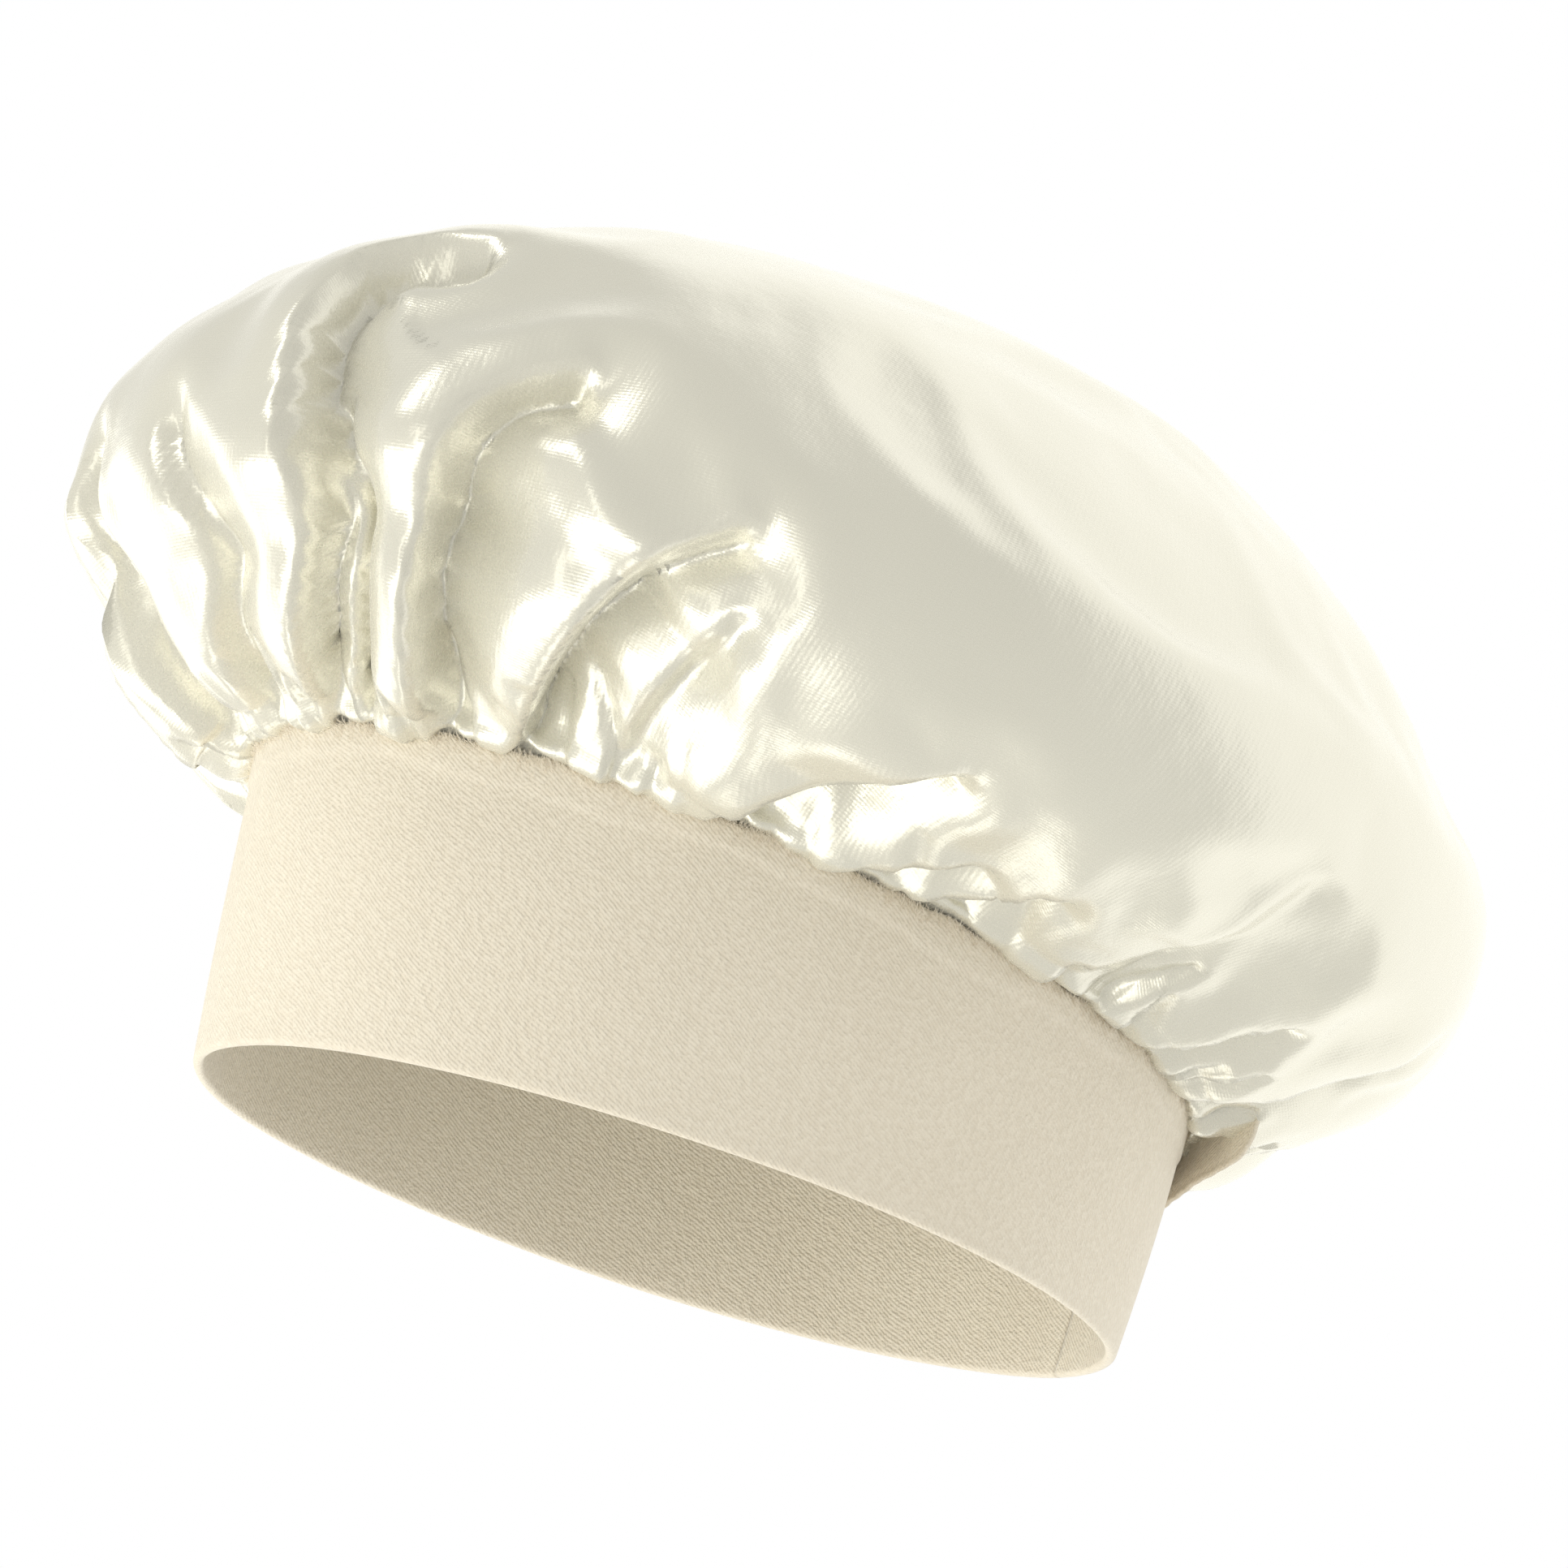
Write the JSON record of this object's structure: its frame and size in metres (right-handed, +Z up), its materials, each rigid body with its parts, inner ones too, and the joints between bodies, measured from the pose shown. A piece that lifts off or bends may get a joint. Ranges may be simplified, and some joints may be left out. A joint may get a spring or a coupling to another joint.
{
  "type": "chef toque",
  "caption": "Puffy chef hat: a round satin crown gathered into a plain folded cloth band, with a hook-and-loop tab closing the band at the back.",
  "frame": {"origin": "on the plane of the band's lower edge, below the middle of the whole hat", "axes": "+Z up through the crown, -Y towards the wearer's forehead, +Y towards the closure at the back of the head, +X towards the wearer's left"},
  "size_m": [0.2784, 0.2999, 0.193],
  "materials": {
    "ivory_satin": "smooth satin with a soft sheen",
    "cream_twill": "matte fine twill",
    "interfacing": "matte pressed fibre",
    "hook_and_loop_tape": "matte pile",
    "cream_thread": "spun thread"
  },
  "bodies": {
    "hat": {"crown": "ivory_satin", "band": "cream_twill", "band_interfacing": "interfacing", "crown_seam_thread": "cream_thread", "gathering_thread": "cream_thread", "overlock_thread": "cream_thread", "left_end_stitching": "cream_thread", "right_end_stitching": "cream_thread", "loop_patch": "hook_and_loop_tape", "loop_patch_stitching": "cream_thread"},
    "tab": {"closure_tab": "cream_twill", "hook_patch": "hook_and_loop_tape", "hook_patch_stitching": "cream_thread", "tab_root_stitching": "cream_thread"}
  },
  "joints": [
    {"name": "tab_peel", "type": "hinge", "parent": "hat", "child": "tab", "pos_m": [-0.02165, 0.10371, 0.038], "axis": [0, 0, 1], "range_deg": [0, 110]}
  ]
}
